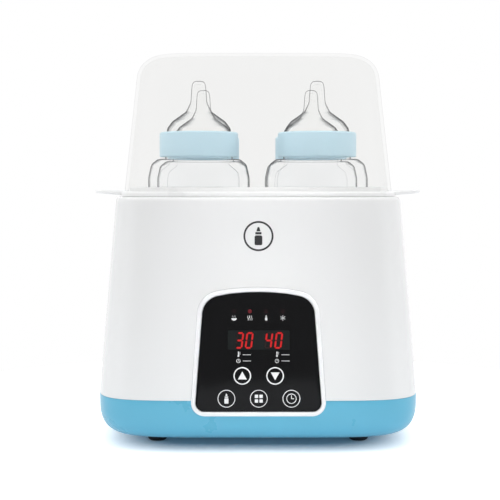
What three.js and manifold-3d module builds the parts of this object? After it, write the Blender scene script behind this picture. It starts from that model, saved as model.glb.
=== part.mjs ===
// Baby-bottle warmer and steam steriliser that holds four wide-neck bottles.
//
// Millimetres, +Z up, front towards -Y. The origin lies on the table under the middle of the body.
// The root body is the blue base tray, the white outer shell, the control panel, the heating
// chamber and the electronics between them. The basket lifts out of the chamber with its bottles,
// and the clear hood lifts off the basket's flange.

import * as THREE from 'three';
import { mergeVertices } from 'three/addons/utils/BufferGeometryUtils.js';
import Module from 'manifold-3d';

const wasm = await Module();
wasm.setup();

// ---------------------------------------------------------------- driving dimensions

const GAP = 0.3; // clearance between neighbours that touch or rest on each other
const PLAN_POWER = 6; // exponent of the soft square plan shared by every shell
const PLAN_POINTS = 32;

// Body, base tray and seam
const BODY_HALF_X = 108.9; // widest half-width, at the seam
const BODY_HALF_Y = 98; // widest half-depth, at the seam
const BODY_TAPER = 11.4; // how far the wall leans in between the seam and the top
const SEAM_Z = 34.7;
const BODY_TOP_Z = 167;
const SHELL_WALL = 2.5;
const SHELL_TOP_RADIUS = 3;
const BASE_Z = 6.7; // underside of the tray
const BOWL_RADIUS = 28; // fillet between the tray's underside and its side
const BOWL_POWER = 3.36;
const TRAY_WALL = 2.5;
const TONGUE_HEIGHT = 4; // tray rim that stands up inside the shell

// Feet and the screws above them
const FOOT_X = 69;
const FOOT_Y = 55;
const FOOT_RADIUS = 6.7;
const FOOT_HEIGHT = 3.1;
const FOOT_BOSS_BOTTOM_Z = 3.4;
const FOOT_BOSS_RADIUS = 9.5;
const SCREW_TUBE_RADIUS = 6;
const COUNTERBORE_RADIUS = 4.2;
const SCREW_WEB_Z = 34; // underside of the web that each screw head bears on
const SCREW_TUBE_TOP_Z = 39.7;
const TUBE_SIDES = 10;
const POST_TOP_Z = 60;

// Heating chamber, basket and hood: half-widths, with half-depths a fixed step smaller
const CHAMBER_HALF_X = 87.4;
const CHAMBER_HALF_Y = 82.4;
const CHAMBER_WALL = 1.2;
const CHAMBER_DRAFT = 1.2;
const CHAMBER_FLOOR_Z = 66;
const CHAMBER_RIM_Z = 161.2;
const BASKET_HALF_X = 84.5;
const BASKET_HALF_Y = 79.5;
const BASKET_WALL = 2;
const BASKET_DRAFT = 1.2;
const BASKET_FLOOR_Z = 80;
const BASKET_FLOOR = 2.7;
const FLANGE_Z = BODY_TOP_Z + GAP;
const FLANGE_THICK = 3;
const FLANGE_HALF_X = 94;
const FLANGE_HALF_Y = 85.5;
const EAR_TIP_X = 114.2;
const EAR_HALF_Y = 46;
const LIP_HEIGHT = 3;
const HOOD_BOTTOM_Z = FLANGE_Z + FLANGE_THICK + GAP;
const HOOD_TOP_Z = 264;
const HOOD_HALF_X = 92;
const HOOD_HALF_Y = 82.5;
const HOOD_TAPER = 10.1;
const HOOD_WALL = 2.2;
const HOOD_TOP_RADIUS = 15;

// Bottles
const BOTTLE_X = 40.85;
const BOTTLE_Y = 39;
const BOTTLE_BASE_Z = BASKET_FLOOR_Z + BASKET_FLOOR + GAP;
const BOTTLE_SIDES = 18;

// Control panel: measured in its own plane, which leans back with the front wall
const PANEL_BOTTOM_Z = 24.7;
const PANEL_BOTTOM_Y = -99.5;
const PANEL_LEAN = THREE.MathUtils.degToRad(3.3);
const PANEL_HEIGHT = 83.9;
const PANEL_BOTTOM_HALF = 44.5;
const PANEL_TOP_HALF = 39;
const PANEL_BOTTOM_RADIUS = 8.8;
const PANEL_TOP_RADIUS = 15.5;
const PANEL_ARCH = 4.4; // rise of the arched top edge
const BEZEL_DEPTH = 8;
const BEZEL_BORDER = 2.9;
const LEDGE_WIDTH = 2.4;
const LENS_RECESS = 0.4;
const LENS_THICK = 1.6;
const BOARD_THICK = 1.6;

// ---------------------------------------------------------------- materials

function plastic(color, roughness) {
  return new THREE.MeshStandardMaterial({ color, roughness, metalness: 0 });
}

function metal(color, roughness) {
  return new THREE.MeshStandardMaterial({ color, roughness, metalness: 1 });
}

function clear(color, opacity) {
  return new THREE.MeshStandardMaterial({ color, roughness: 0.06, metalness: 0, transparent: true, opacity });
}

const white = plastic(0xf1f1f2, 0.22);
const bezelWhite = plastic(0xfafafa, 0.2);
const blue = plastic(0x67b6dd, 0.35);
const paleBlue = plastic(0xb9dbe8, 0.4);
const blackLens = plastic(0x151515, 0.08);
const rubber = plastic(0x20262c, 0.8);
const silicone = plastic(0xd8d8d8, 0.6);
const basketWhite = plastic(0xf4f4f4, 0.35);
const hoodClear = clear(0xf2f2f2, 0.25);
const bottleClear = clear(0xeef3f5, 0.3);
const teatClear = clear(0xf2f2f0, 0.4);
const boardGreen = plastic(0x1e5b3a, 0.5);
const darkPart = plastic(0x1b1b1d, 0.45);
const greyPart = plastic(0x3a4545, 0.4);
const yellowPart = plastic(0xd9b23a, 0.5);
const relayBlue = plastic(0x2b62a8, 0.4);
const ledRed = plastic(0xb01515, 0.25);
const wireRed = plastic(0xb5302a, 0.5);
const wireBlue = plastic(0x2f63b0, 0.5);
const wireGrey = plastic(0x9a9da0, 0.5);
const steel = metal(0xc4c6c8, 0.3);
const zinc = metal(0xb9bcc0, 0.4);
const aluminium = metal(0xa9adb1, 0.45);

// ---------------------------------------------------------------- geometry helpers

// Keeps only positions, with shared vertices merged and collapsed triangles dropped.
function cleaned(geometry) {
  const bare = new THREE.BufferGeometry();
  const source = geometry.index ? geometry.toNonIndexed() : geometry;
  bare.setAttribute('position', source.getAttribute('position').clone());
  const merged = mergeVertices(bare, 1e-4);
  const kept = [];
  const index = merged.index.array;
  for (let i = 0; i < index.length; i += 3) {
    const [a, b, c] = [index[i], index[i + 1], index[i + 2]];
    if (a !== b && b !== c && c !== a) kept.push(a, b, c);
  }
  merged.setIndex(kept);
  return merged;
}

function toSolid(geometry) {
  const g = cleaned(geometry);
  return new wasm.Manifold(
    new wasm.Mesh({
      numProp: 3,
      vertProperties: new Float32Array(g.attributes.position.array),
      triVerts: new Uint32Array(g.index.array),
    }),
  );
}

function fromSolid(solid) {
  const mesh = solid.getMesh();
  const g = new THREE.BufferGeometry();
  g.setAttribute('position', new THREE.BufferAttribute(new Float32Array(mesh.vertProperties), 3));
  g.setIndex(new THREE.BufferAttribute(new Uint32Array(mesh.triVerts), 1));
  return g;
}

// Joins `extra` to `body`, then takes `cuts` away from the result.
function combine(body, extra = [], cuts = []) {
  let solid = toSolid(body);
  for (const g of extra) solid = solid.add(toSolid(g));
  for (const g of cuts) solid = solid.subtract(toSolid(g));
  return fromSolid(solid);
}

// A soft square: |x/halfX|^n + |y/halfY|^n = 1, counter-clockwise from +X.
function planPoints(halfX, halfY, power = PLAN_POWER, count = PLAN_POINTS) {
  const points = [];
  for (let i = 0; i < count; i++) {
    const angle = (2 * Math.PI * i) / count;
    const c = Math.cos(angle);
    const s = Math.sin(angle);
    const x = halfX * Math.sign(c) * Math.abs(c) ** (2 / power);
    const y = halfY * Math.sign(s) * Math.abs(s) ** (2 / power);
    points.push([Math.abs(c) < 1e-9 ? 0 : x, Math.abs(s) < 1e-9 ? 0 : y]);
  }
  return points;
}

// Skins a stack of [halfX, halfY, z] soft squares. A closed stack returns to its first ring and
// leaves a through opening; an open one is capped by a point at each end.
function shellOf(rings, closed) {
  const position = [];
  const index = [];
  const n = PLAN_POINTS;
  for (const [halfX, halfY, z] of rings) {
    for (const [x, y] of planPoints(halfX, halfY)) position.push(x, y, z);
  }
  const bands = closed ? rings.length : rings.length - 1;
  for (let k = 0; k < bands; k++) {
    const low = k * n;
    const high = ((k + 1) % rings.length) * n;
    for (let i = 0; i < n; i++) {
      const j = (i + 1) % n;
      index.push(low + i, low + j, high + j, low + i, high + j, high + i);
    }
  }
  if (!closed) {
    const first = position.length / 3;
    position.push(0, 0, rings[0][2], 0, 0, rings[rings.length - 1][2]);
    const last = (rings.length - 1) * n;
    for (let i = 0; i < n; i++) {
      const j = (i + 1) % n;
      index.push(first, j, i, first + 1, last + i, last + j);
    }
  }
  const g = new THREE.BufferGeometry();
  g.setAttribute('position', new THREE.Float32BufferAttribute(position, 3));
  g.setIndex(index);
  return g;
}

// Turns an [r, z] profile about +Z. The profile runs from the axis at the bottom, up the outside.
function turned(profile, segments = BOTTLE_SIDES) {
  const points = profile.map(([r, z]) => new THREE.Vector2(r, z));
  const g = new THREE.LatheGeometry(points, segments);
  g.rotateX(Math.PI / 2);
  return cleaned(g);
}

function ring(outer, inner, bottom, top, segments = BOTTLE_SIDES) {
  return turned([[inner, bottom], [outer, bottom], [outer, top], [inner, top], [inner, bottom]], segments);
}

function rod(radius, bottom, top, segments = 12) {
  return turned([[0, bottom], [radius, bottom], [radius, top], [0, top]], segments);
}

function block(x0, x1, y0, y1, z0, z1) {
  const g = new THREE.BoxGeometry(x1 - x0, y1 - y0, z1 - z0);
  g.translate((x0 + x1) / 2, (y0 + y1) / 2, (z0 + z1) / 2);
  return g;
}

// Extrudes a closed [x, y] outline from z = bottom to z = top.
function prism(outline, bottom, top) {
  const shape = new THREE.Shape(outline.map(([x, y]) => new THREE.Vector2(x, y)));
  const g = new THREE.ExtrudeGeometry(shape, { depth: top - bottom, bevelEnabled: false });
  g.translate(0, 0, bottom);
  return g;
}

// Sweeps a round or flat section along a smooth path through `stops`.
function swept(stops, halfWidth, halfHeight, sides = 6, steps = 10) {
  const path = new THREE.CatmullRomCurve3(stops.map(([x, y, z]) => new THREE.Vector3(x, y, z)));
  const section = new THREE.Shape();
  for (let i = 0; i < sides; i++) {
    const angle = (2 * Math.PI * (i + 0.5)) / sides;
    const x = halfWidth * Math.cos(angle);
    const y = halfHeight * Math.sin(angle);
    if (i === 0) section.moveTo(x, y);
    else section.lineTo(x, y);
  }
  section.closePath();
  return new THREE.ExtrudeGeometry(section, { extrudePath: path, steps, bevelEnabled: false });
}

// Rounds each corner [x, y, radius] of a counter-clockwise outline with `steps` short edges.
function roundedOutline(corners, steps = 4) {
  const out = [];
  corners.forEach(([x, y, radius], i) => {
    if (!radius) {
      out.push([x, y]);
      return;
    }
    const here = new THREE.Vector2(x, y);
    const before = corners[(i + corners.length - 1) % corners.length];
    const after = corners[(i + 1) % corners.length];
    const back = new THREE.Vector2(before[0], before[1]).sub(here).normalize();
    const on = new THREE.Vector2(after[0], after[1]).sub(here).normalize();
    const half = Math.acos(THREE.MathUtils.clamp(back.dot(on), -1, 1)) / 2;
    const reach = radius / Math.tan(half);
    const middle = here.clone().addScaledVector(back.clone().add(on).normalize(), radius / Math.sin(half));
    const start = here.clone().addScaledVector(back, reach).sub(middle);
    const end = here.clone().addScaledVector(on, reach).sub(middle);
    let turn = end.angle() - start.angle();
    if (turn < 0) turn += 2 * Math.PI;
    for (let k = 0; k <= steps; k++) {
      const a = start.angle() + (turn * k) / steps;
      out.push([middle.x + radius * Math.cos(a), middle.y + radius * Math.sin(a)]);
    }
  });
  return out;
}

// Outline of the panel in its own plane, moved in by `inset`: straight leaning sides under an arch.
function panelOutline(inset) {
  const bottom = inset;
  const lowHalf = PANEL_BOTTOM_HALF - inset;
  const topHalf = PANEL_TOP_HALF - inset;
  const shoulder = PANEL_HEIGHT - PANEL_ARCH - inset;
  const bottomRadius = Math.max(PANEL_BOTTOM_RADIUS - inset, 1.5);
  const topRadius = Math.max(PANEL_TOP_RADIUS - inset, 2);
  const corners = [
    [-lowHalf, bottom, bottomRadius],
    [lowHalf, bottom, bottomRadius],
    [topHalf, shoulder, topRadius],
  ];
  const archHalf = topHalf - topRadius;
  for (let k = 1; k <= 5; k++) {
    const x = archHalf * (1 - k / 3);
    corners.push([x, shoulder + PANEL_ARCH * (1 - (x / topHalf) ** 2), 0]);
  }
  corners.push([-topHalf, shoulder, topRadius]);
  return roundedOutline(corners);
}

// Half-width lost by the body's side wall at height z.
function taperAt(z) {
  return (BODY_TAPER * Math.max(z - SEAM_Z, 0)) / (BODY_TOP_Z - SEAM_Z);
}

// [halfX, halfY, z] of the body at height z, moved in by `inset`.
function bodyRing(z, inset = 0) {
  return [BODY_HALF_X - taperAt(z) - inset, BODY_HALF_Y - (taperAt(z) * 10) / BODY_TAPER - inset, z];
}

// [halfX, halfY, z] of the tray's bowl at `drop` below the seam.
function bowlRing(drop, inset = 0) {
  const down = Math.min(drop / BOWL_RADIUS, 1);
  const pull = BOWL_RADIUS * (1 - (1 - down ** BOWL_POWER) ** (1 / BOWL_POWER));
  const [halfX, halfY] = bodyRing(SEAM_Z, inset);
  return [halfX - pull, halfY - pull, SEAM_Z - drop];
}

// The tray's four feet, front left first, counter-clockwise.
const FEET = [[-FOOT_X, -FOOT_Y], [FOOT_X, -FOOT_Y], [FOOT_X, FOOT_Y], [-FOOT_X, FOOT_Y]];

// ---------------------------------------------------------------- assembly

const group = new THREE.Group();
const panel = new THREE.Group(); // local X across, Y up the panel, Z out of its face
panel.position.set(0, PANEL_BOTTOM_Y, PANEL_BOTTOM_Z);
panel.rotation.x = Math.PI / 2 - PANEL_LEAN;
group.add(panel);

function addPart(name, geometry, material, parent = group) {
  const mesh = new THREE.Mesh(cleaned(geometry), material);
  mesh.geometry.computeVertexNormals();
  mesh.name = name;
  parent.add(mesh);
  return mesh;
}

// A cutting tool given in the panel's plane, placed in the part's frame.
function inPanel(geometry) {
  panel.updateMatrixWorld(true);
  return geometry.applyMatrix4(panel.matrixWorld);
}

const panelCut = () => inPanel(prism(panelOutline(-GAP), -30, 20));

// Power inlet, in the back wall
const INLET_X = 42;
const INLET_Z = 54;
const INLET_HALF_WIDTH = 10.5;
const INLET_HALF_HEIGHT = 7;
const BACK_WALL_Y = bodyRing(INLET_Z)[1];

// ---------------------------------------------------------------- white outer shell

const shellRings = [];
for (const z of [SEAM_Z, 70, 118]) shellRings.push(bodyRing(z));
for (const turn of [0, 0.5, 1]) {
  const a = (turn * Math.PI) / 2;
  const z = BODY_TOP_Z - SHELL_TOP_RADIUS * (1 - Math.sin(a));
  shellRings.push(bodyRing(z, SHELL_TOP_RADIUS * (1 - Math.cos(a))));
}
const openingX = CHAMBER_HALF_X - 1.4;
const openingY = CHAMBER_HALF_Y - 1.4;
shellRings.push([openingX, openingY, BODY_TOP_Z]);
shellRings.push([openingX, openingY, BODY_TOP_Z - SHELL_WALL]);
for (const z of [BODY_TOP_Z - SHELL_WALL, 94, SEAM_Z]) shellRings.push(bodyRing(z, SHELL_WALL));

const shellPosts = [];
const postHoles = [];
for (const [x, y] of FEET) {
  const wallX = Math.sign(x) * (BODY_HALF_X - 3.5);
  const wallY = Math.sign(y) * (BODY_HALF_Y - 5.5);
  shellPosts.push(rod(SCREW_TUBE_RADIUS, SCREW_TUBE_TOP_Z + GAP, POST_TOP_Z, TUBE_SIDES).translate(x, y, 0));
  shellPosts.push(block(Math.min(x, wallX), Math.max(x, wallX), y - 1, y + 1, 42, POST_TOP_Z));
  shellPosts.push(block(x - 1, x + 1, Math.min(y, wallY), Math.max(y, wallY), 42, POST_TOP_Z));
  postHoles.push(rod(2.3, SCREW_TUBE_TOP_Z - 1, 54, 8).translate(x, y, 0));
}
const inletHole = block(
  INLET_X - INLET_HALF_WIDTH, INLET_X + INLET_HALF_WIDTH,
  BACK_WALL_Y - 8, BACK_WALL_Y + 4,
  INLET_Z - INLET_HALF_HEIGHT, INLET_Z + INLET_HALF_HEIGHT,
);
const shellCuts = [...postHoles, inletHole, panelCut()];
addPart('outer_shell', combine(shellOf(shellRings, true), shellPosts, shellCuts), white);

// ---------------------------------------------------------------- blue base tray

const trayRings = [];
for (const drop of [BOWL_RADIUS, 27.5, 26, 23, 18, 10, GAP]) trayRings.push(bowlRing(drop));
const trayTop = SEAM_Z - GAP;
trayRings.push(bodyRing(trayTop, SHELL_WALL + GAP));
trayRings.push(bodyRing(trayTop + TONGUE_HEIGHT, SHELL_WALL + GAP));
trayRings.push(bodyRing(trayTop + TONGUE_HEIGHT, SHELL_WALL + GAP + 1.8));
trayRings.push(bowlRing(1, SHELL_WALL + GAP + 1.8));
trayRings.push(bowlRing(14, TRAY_WALL));
trayRings.push(bowlRing(21, TRAY_WALL + 0.4));
trayRings.push(bowlRing(BOWL_RADIUS - TRAY_WALL, TRAY_WALL + 1));

const trayTubes = [];
const trayBores = [];
for (const [x, y] of FEET) {
  trayTubes.push(rod(SCREW_TUBE_RADIUS, BASE_Z + 0.5, SCREW_TUBE_TOP_Z, TUBE_SIDES).translate(x, y, 0));
  const boss = turned([[0, FOOT_BOSS_BOTTOM_Z], [FOOT_RADIUS + 1, FOOT_BOSS_BOTTOM_Z],
    [FOOT_BOSS_RADIUS, BASE_Z], [FOOT_BOSS_RADIUS, BASE_Z + 1], [0, BASE_Z + 1]], 14);
  trayTubes.push(boss.translate(x, y, 0));
  trayBores.push(rod(COUNTERBORE_RADIUS, 0, SCREW_WEB_Z).translate(x, y, 0));
  trayBores.push(rod(2.3, SCREW_WEB_Z - 1, SCREW_TUBE_TOP_Z + 1, 8).translate(x, y, 0));
}
const BOARD_Z = 18; // underside of the power board
const BOARD_POSTS = [[-44, -32], [32, -32], [32, 32], [-44, 32]];
for (const [x, y] of BOARD_POSTS) trayTubes.push(rod(3, BASE_Z + 1, BOARD_Z - GAP, 6).translate(x, y, 0));
const trayVents = [];
for (const x of [-15, -5, 5, 15]) trayVents.push(block(x - 1.5, x + 1.5, -14, 14, BASE_Z - 1, BASE_Z + 4));
const trayCuts = [...trayBores, ...trayVents, panelCut()];
addPart('base_tray', combine(shellOf(trayRings, false), trayTubes, trayCuts), blue);

FEET.forEach(([x, y], i) => {
  const pad = turned([[0, 0], [FOOT_RADIUS - 0.7, 0], [FOOT_RADIUS, 0.9], [FOOT_RADIUS, FOOT_HEIGHT],
    [COUNTERBORE_RADIUS - GAP, FOOT_HEIGHT], [COUNTERBORE_RADIUS - GAP, 9], [0, 9]], 14);
  addPart(`rubber_foot_${i + 1}`, pad, rubber).position.set(x, y, 0);
  const head = SCREW_WEB_Z - GAP;
  const screw = turned([[0, head - 2.2], [3, head - 2.2], [3.6, head - 1.4], [3.6, head], [1.8, head],
    [1.8, 49], [0, 51.5]], 10);
  addPart(`base_screw_${i + 1}`, screw, zinc).position.set(x, y, 0);
});

// ---------------------------------------------------------------- control panel

const lensFront = -LENS_RECESS;
const lensBack = lensFront - LENS_THICK;
const ledgeFront = lensBack - GAP;
const bezelBody = prism(panelOutline(0), -BEZEL_DEPTH, -0.8);
const bezelFace = prism(panelOutline(0.5), -1.2, 0);
const lensPocket = prism(panelOutline(BEZEL_BORDER), ledgeFront, 5);
const bezelWindow = prism(panelOutline(BEZEL_BORDER + LEDGE_WIDTH), -BEZEL_DEPTH - 5, 5);
addPart('panel_bezel', combine(bezelBody, [bezelFace], [lensPocket, bezelWindow]), bezelWhite, panel);
addPart('panel_lens', prism(panelOutline(BEZEL_BORDER + GAP), lensBack, lensFront), blackLens, panel);

// Places on the panel, in its own plane
const ROW_LEDS = 68.3;
const LED_X = [-15.9, -5.6, 5, 15.8];
const DISPLAY_Y = 49.7;
const ROW_ARROWS = 26.4;
const ROW_KEYS = 11.6;
const KEY_SPOTS = [
  [-10.5, ROW_ARROWS], [10.8, ROW_ARROWS], [-20.8, ROW_KEYS], [0.2, ROW_KEYS], [21.4, ROW_KEYS],
];
const boardFront = -BEZEL_DEPTH - GAP;
const behindLens = lensBack - GAP;

addPart('display_module', block(-20.4, 19.6, DISPLAY_Y - 6.6, DISPLAY_Y + 6.6, boardFront + GAP, behindLens),
  greyPart, panel);
LED_X.forEach((x, i) => {
  const led = turned([
    [0, boardFront + GAP], [1.9, boardFront + GAP], [1.9, boardFront + 1.2], [1.5, boardFront + 1.2],
    [1.5, behindLens - 0.8], [0.8, behindLens], [0, behindLens]], 12);
  addPart(`indicator_led_${i + 1}`, led, ledRed, panel).position.set(x, ROW_LEDS, 0);
});
KEY_SPOTS.forEach(([x, y], i) => {
  const spring = ring(4.6, 3.2, boardFront + GAP, behindLens, 10);
  addPart(`touch_spring_${i + 1}`, spring, steel, panel).position.set(x, y, 0);
});
const boardOutline = roundedOutline([[-37, 6, 3], [37, 6, 3], [35, 75, 10], [-35, 75, 10]], 3);
addPart('control_board', prism(boardOutline, boardFront - BOARD_THICK, boardFront), boardGreen, panel);

// ---------------------------------------------------------------- power electronics in the tray

const boardTop = BOARD_Z + BOARD_THICK;
const onBoard = boardTop + GAP;
addPart('power_board', block(-50, 38, -38, 38, BOARD_Z, boardTop), boardGreen);
addPart('transformer', combine(block(-42, -16, -12, 14, onBoard, onBoard + 20),
  [block(-38, -20, -16, 18, onBoard + 3, onBoard + 17)]), yellowPart);
addPart('capacitor', rod(6, onBoard, onBoard + 20, 18).translate(-4, 20, 0), darkPart);
addPart('relay', block(8, 27, 4, 20, onBoard, onBoard + 15), relayBlue);
addPart('buzzer', combine(rod(6, onBoard, onBoard + 7, 18), [], [rod(1.2, onBoard + 4, onBoard + 9, 8)])
  .translate(16, -22, 0), darkPart);

// ---------------------------------------------------------------- heating chamber

const CHAMBER_DEPTH = CHAMBER_RIM_Z - CHAMBER_FLOOR_Z;
const chamberX = (z) => CHAMBER_HALF_X - (CHAMBER_DRAFT * (CHAMBER_RIM_Z - z)) / CHAMBER_DEPTH;
const chamberRing = (z, inset) => [
  chamberX(z) - inset, chamberX(z) - inset - (CHAMBER_HALF_X - CHAMBER_HALF_Y), z,
];
const rimUnder = CHAMBER_RIM_Z - CHAMBER_WALL;
const chamberRings = [
  chamberRing(CHAMBER_FLOOR_Z, 6),
  chamberRing(CHAMBER_FLOOR_Z + 6, 0),
  chamberRing(rimUnder, 0),
  [91.3, 84.2, rimUnder],
  [91.3, 84.2, CHAMBER_RIM_Z],
  chamberRing(CHAMBER_RIM_Z, CHAMBER_WALL),
  chamberRing(CHAMBER_FLOOR_Z + 6.5, CHAMBER_WALL),
  chamberRing(CHAMBER_FLOOR_Z + CHAMBER_WALL, CHAMBER_WALL + 5.4),
];
addPart('heating_chamber', shellOf(chamberRings, false), steel);

const sealBottom = CHAMBER_RIM_Z + GAP;
const sealTop = BODY_TOP_Z - SHELL_WALL - GAP;
addPart('chamber_seal', shellOf([[88, 82.6, sealBottom], [91, 84.2, sealBottom], [91, 84.2, sealTop],
  [88, 82.6, sealTop]], true), silicone);

const plateTop = CHAMBER_FLOOR_Z - GAP;
addPart('heater_plate', turned([[0, plateTop - 5], [44, plateTop - 5], [46, plateTop - 3], [46, plateTop],
  [0, plateTop]], 24), aluminium);
const elementZ = plateTop - 5 - GAP - 3.6;
const elementStops = [];
for (let i = 0; i <= 10; i++) {
  const a = THREE.MathUtils.degToRad(-65 + 31 * i);
  elementStops.push([33 * Math.cos(a - Math.PI / 2), 33 * Math.sin(a - Math.PI / 2), elementZ]);
}
const ELEMENT_RADIUS = 3.6;
addPart('heater_element', swept(elementStops, ELEMENT_RADIUS, ELEMENT_RADIUS, 6, 18), steel);
addPart('heater_clamp', block(-42, 42, -5, 5, elementZ - 3.6 - GAP - 2, elementZ - 3.6 - GAP), zinc);
const sensorBody = combine(rod(3, plateTop - 9, plateTop, 14), [rod(5, plateTop - 2, plateTop, 14)]);
addPart('temperature_sensor', sensorBody.translate(60, 20, 0), steel);
const fuseZ = elementZ - 3.6 - 2 * GAP - 4.6;
addPart('thermal_fuse', rod(2.4, -8, 8, 12).rotateY(Math.PI / 2).translate(0, 0, fuseZ), zinc);

// ---------------------------------------------------------------- power inlet and inner leads

const flangeFront = BACK_WALL_Y + GAP + 0.4;
const inletBody = block(INLET_X - INLET_HALF_WIDTH + GAP, INLET_X + INLET_HALF_WIDTH - GAP,
  BACK_WALL_Y - 15, flangeFront + 1, INLET_Z - INLET_HALF_HEIGHT + GAP, INLET_Z + INLET_HALF_HEIGHT - GAP);
const inletFlange = block(
  INLET_X - 14, INLET_X + 14, flangeFront, flangeFront + 2, INLET_Z - 10, INLET_Z + 10,
);
const inletMouth = block(
  INLET_X - 8.7, INLET_X + 8.7, BACK_WALL_Y - 10, flangeFront + 5, INLET_Z - 4.6, INLET_Z + 4.6,
);
const PIN_X = 5.4;
const pinHole = (side) => rod(1.4, BACK_WALL_Y - 16, BACK_WALL_Y - 9, 10).rotateX(-Math.PI / 2)
  .translate(INLET_X + side * PIN_X, 0, INLET_Z);
addPart('inlet_socket', combine(inletBody, [inletFlange], [inletMouth, pinHole(-1), pinHole(1)]), darkPart);
for (const side of [-1, 1]) {
  const pin = rod(1.1, BACK_WALL_Y - 19, BACK_WALL_Y - 1, 10).rotateX(-Math.PI / 2);
  addPart(`inlet_pin_${side < 0 ? 1 : 2}`, pin, zinc).position.set(INLET_X + side * PIN_X, 0, INLET_Z);
}

const padZ = onBoard + 1.2;
addPart('mains_lead_1', swept([
  [INLET_X - PIN_X, BACK_WALL_Y - 20.8, INLET_Z], [INLET_X - 8, 66, 50], [32, 50, 32],
  [24, 34, padZ]], 1.2, 1.2), wireRed);
addPart('mains_lead_2', swept([
  [INLET_X + PIN_X, BACK_WALL_Y - 20.8, INLET_Z], [INLET_X + 2, 62, 46], [38, 44, 28],
  [32, 26, padZ]], 1.2, 1.2), wireBlue);
addPart('heater_lead_1', swept([
  [14.7, -29.7, elementZ - 5.4], [20, -30, 40], [28, -20, 28], [30, -8, padZ],
], 1.2, 1.2),
  wireRed);
addPart('heater_lead_2', swept([
  [-14.7, -29.7, elementZ - 5.4], [-8, -34, 40], [-2, -34, 28], [-2, -30, padZ],
], 1.2, 1.2),
  wireBlue);
addPart('sensor_lead', swept([
  [60, 20, plateTop - 10.6], [56, 16, 44], [42, 4, 30], [33, 2, padZ],
], 1, 1), wireGrey);
addPart('panel_ribbon', swept([[0, -84, 50], [-2, -74, 44], [-6, -54, 30], [-8, -34, padZ + 0.4]], 7, 0.8, 4),
  wireGrey);

// ---------------------------------------------------------------- basket

const basketX = (z) => BASKET_HALF_X - (BASKET_DRAFT * (FLANGE_Z - z)) / (FLANGE_Z - BASKET_FLOOR_Z);
const basketRing = (z, inset) => [
  basketX(z) - inset, basketX(z) - inset - (BASKET_HALF_X - BASKET_HALF_Y), z,
];
const flangeTop = FLANGE_Z + FLANGE_THICK;
const lipOuterX = HOOD_HALF_X - HOOD_WALL - 0.9;
const lipOuterY = HOOD_HALF_Y - HOOD_WALL - 0.9;
const basketRings = [
  basketRing(BASKET_FLOOR_Z, 3),
  basketRing(BASKET_FLOOR_Z + 3, 0),
  basketRing(FLANGE_Z, 0),
  [FLANGE_HALF_X - 0.6, FLANGE_HALF_Y - 0.6, FLANGE_Z],
  [FLANGE_HALF_X, FLANGE_HALF_Y, FLANGE_Z + 0.8],
  [FLANGE_HALF_X, FLANGE_HALF_Y, flangeTop - 0.8],
  [FLANGE_HALF_X - 0.6, FLANGE_HALF_Y - 0.6, flangeTop],
  [lipOuterX, lipOuterY, flangeTop],
  [lipOuterX, lipOuterY, flangeTop + LIP_HEIGHT],
  [lipOuterX - 1.8, lipOuterY - 1.8, flangeTop + LIP_HEIGHT],
  [lipOuterX - 1.8, lipOuterY - 1.8, flangeTop],
  basketRing(FLANGE_Z, BASKET_WALL),
  basketRing(BASKET_FLOOR_Z + BASKET_FLOOR, BASKET_WALL),
];
const earOutline = (side) => roundedOutline([[90, -EAR_HALF_Y, 4], [EAR_TIP_X, -EAR_HALF_Y + 12, 12],
  [EAR_TIP_X, EAR_HALF_Y - 12, 12], [90, EAR_HALF_Y, 4]], 4)
  .map(([x, y]) => (side > 0 ? [x, y] : [-x, -y]));
const ears = [1, -1].map((side) => prism(earOutline(side), FLANGE_Z, flangeTop));
const floorSlots = [];
for (const row of [-1.5, -0.5, 0.5, 1.5]) {
  for (const column of [-1, 0, 1]) {
    const x = column * 52;
    const y = row * 34;
    const half = column === 0 ? 16 : 14;
    const slotTop = BASKET_FLOOR_Z + BASKET_FLOOR + 1;
    floorSlots.push(block(x - half, x + half, y - 2.5, y + 2.5, BASKET_FLOOR_Z - 1, slotTop));
  }
}
const wallSlots = [];
for (const x of [-46, 0, 46]) {
  for (const side of [-1, 1]) {
    const y = side * (BASKET_HALF_Y - 2);
    wallSlots.push(block(x - 3, x + 3, y - 6, y + 6, 96, 140));
  }
}
const basketSlots = [...floorSlots, ...wallSlots];
addPart('bottle_basket', combine(shellOf(basketRings, false), ears, basketSlots), basketWhite);

// ---------------------------------------------------------------- hood

function hoodRing(z, inset) {
  const lean = (HOOD_TAPER * (z - HOOD_BOTTOM_Z)) / (HOOD_TOP_Z - HOOD_BOTTOM_Z);
  return [HOOD_HALF_X - lean - inset, HOOD_HALF_Y - lean - inset, z];
}
function hoodCorner(inset) {
  const rings = [];
  const radius = HOOD_TOP_RADIUS - inset;
  for (const degrees of [0, 40, 80]) {
    const a = THREE.MathUtils.degToRad(degrees);
    const z = HOOD_TOP_Z - HOOD_TOP_RADIUS + radius * Math.sin(a) - 0.6;
    rings.push(hoodRing(z, inset + radius * (1 - Math.cos(a))));
  }
  rings.push([34, 30, HOOD_TOP_Z - inset - 0.1]);
  return rings;
}
const hoodRings = [
  ...hoodCorner(HOOD_WALL).reverse(),
  hoodRing(HOOD_BOTTOM_Z, HOOD_WALL),
  hoodRing(HOOD_BOTTOM_Z, 0),
  ...hoodCorner(0),
];
addPart('hood', shellOf(hoodRings, false), hoodClear);

// ---------------------------------------------------------------- bottles, teats and collars

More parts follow.
